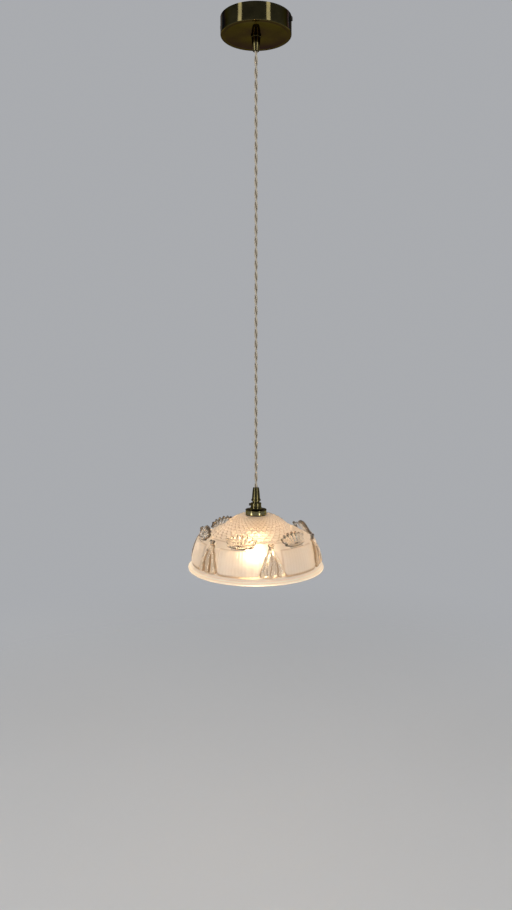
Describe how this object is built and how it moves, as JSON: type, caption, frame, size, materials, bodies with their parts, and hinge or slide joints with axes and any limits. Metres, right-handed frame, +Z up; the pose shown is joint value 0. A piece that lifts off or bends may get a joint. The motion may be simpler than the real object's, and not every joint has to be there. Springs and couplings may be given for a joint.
{
  "type": "pendant ceiling light",
  "caption": "Pendant ceiling light: brass ceiling cup, twisted fabric flex and bayonet lampholder carrying a pressed-glass bowl shade with panels, fans and tassels.",
  "frame": {"origin": "centre of the ceiling bracket, on the ceiling plane", "axes": "+Z up into the ceiling, X along the bracket and the cup's side screws, -Y towards the first fan ornament"},
  "size_m": [0.25, 0.25, 0.9463],
  "materials": {
    "brass": "polished antique",
    "bracket_steel": "zinc plated",
    "screw_steel": "darkened",
    "terminal_plastic": "matte",
    "inner_brass": "plain",
    "core_live": "matte",
    "core_neutral": "matte",
    "flex_fabric": "braided",
    "porcelain": "glazed",
    "spring_steel": "bright",
    "fibre": "matte",
    "pressed_glass": "satin with polished ornaments",
    "opal_glass": "opal, lit",
    "bulb_metal": "bright",
    "vitrite": "black",
    "solder": "dull"
  },
  "bodies": {
    "ceiling": {"ceiling_bracket": "bracket_steel", "earth_screw": "inner_brass", "terminal_block": "terminal_plastic", "terminal_sleeves": "inner_brass", "terminal_screws": "spring_steel", "terminal_fixing_screw": "spring_steel", "canopy": "brass", "canopy_cord_grip": "brass", "canopy_grub_screw": "screw_steel", "canopy_washer": "inner_brass", "canopy_locknut": "inner_brass", "upper_flex_tail": "flex_fabric", "upper_core_live": "core_live", "upper_core_neutral": "core_neutral"},
    "screw_left": {"canopy_screw_left": "screw_steel"},
    "screw_right": {"canopy_screw_right": "screw_steel"},
    "bend": {"flex_neck": "flex_fabric"},
    "cord": {"flex": "flex_fabric"},
    "lamp": {"lamp_cord_grip": "brass", "lamp_grub_screw": "screw_steel", "lower_flex_tail": "flex_fabric", "lower_core_live": "core_live", "lower_core_neutral": "core_neutral", "lampholder_cap": "brass", "cap_locking_screw": "screw_steel", "lampholder_skirt": "brass", "bayonet_barrel": "inner_brass", "insulator": "porcelain", "holder_terminals": "inner_brass", "holder_terminal_screws": "spring_steel", "plunger_spring_front": "spring_steel", "plunger_spring_back": "spring_steel", "upper_washer": "fibre", "shade": "pressed_glass", "lower_washer": "fibre", "shade_ring": "brass"},
    "plunger_f": {"plunger_front": "inner_brass"},
    "plunger_b": {"plunger_back": "inner_brass"},
    "bulb": {"bulb_globe": "opal_glass", "bulb_cap": "bulb_metal", "bulb_insulator": "vitrite", "bulb_contacts": "solder"}
  },
  "joints": [
    {"name": "screw_left_out", "type": "slide", "parent": "ceiling", "child": "screw_left", "axis": [-1, 0, 0], "range_m": [0, 0.006]},
    {"name": "screw_right_out", "type": "slide", "parent": "ceiling", "child": "screw_right", "axis": [1, 0, 0], "range_m": [0, 0.006]},
    {"name": "swing_side", "type": "hinge", "parent": "ceiling", "child": "bend", "pos_m": [0, 0, -0.0523], "axis": [0, 1, 0], "range_deg": [-20, 20]},
    {"name": "swing_fore_aft", "type": "hinge", "parent": "bend", "child": "cord", "pos_m": [0, 0, -0.0523], "axis": [1, 0, 0], "range_deg": [-20, 20]},
    {"name": "lamp_turn", "type": "hinge", "parent": "cord", "child": "lamp", "pos_m": [0, 0, -0.7993], "axis": [0, 0, 1], "range_deg": [-90, 90]},
    {"name": "bulb_push", "type": "slide", "parent": "lamp", "child": "bulb", "axis": [0, 0, 1], "range_m": [0, 0.002], "stiffness_N_per_m": 1500, "springref_m": -0.004},
    {"name": "plunger_front_in", "type": "slide", "parent": "lamp", "child": "plunger_f", "axis": [0, 0, 1], "range_m": [0, 0.002], "deforming": ["plunger_spring_front"]},
    {"name": "plunger_back_in", "type": "slide", "parent": "lamp", "child": "plunger_b", "axis": [0, 0, 1], "range_m": [0, 0.002], "deforming": ["plunger_spring_back"]}
  ],
  "couplings": [
    {"joint": "plunger_front_in", "follows": "bulb_push", "ratio": 1},
    {"joint": "plunger_back_in", "follows": "bulb_push", "ratio": 1}
  ]
}
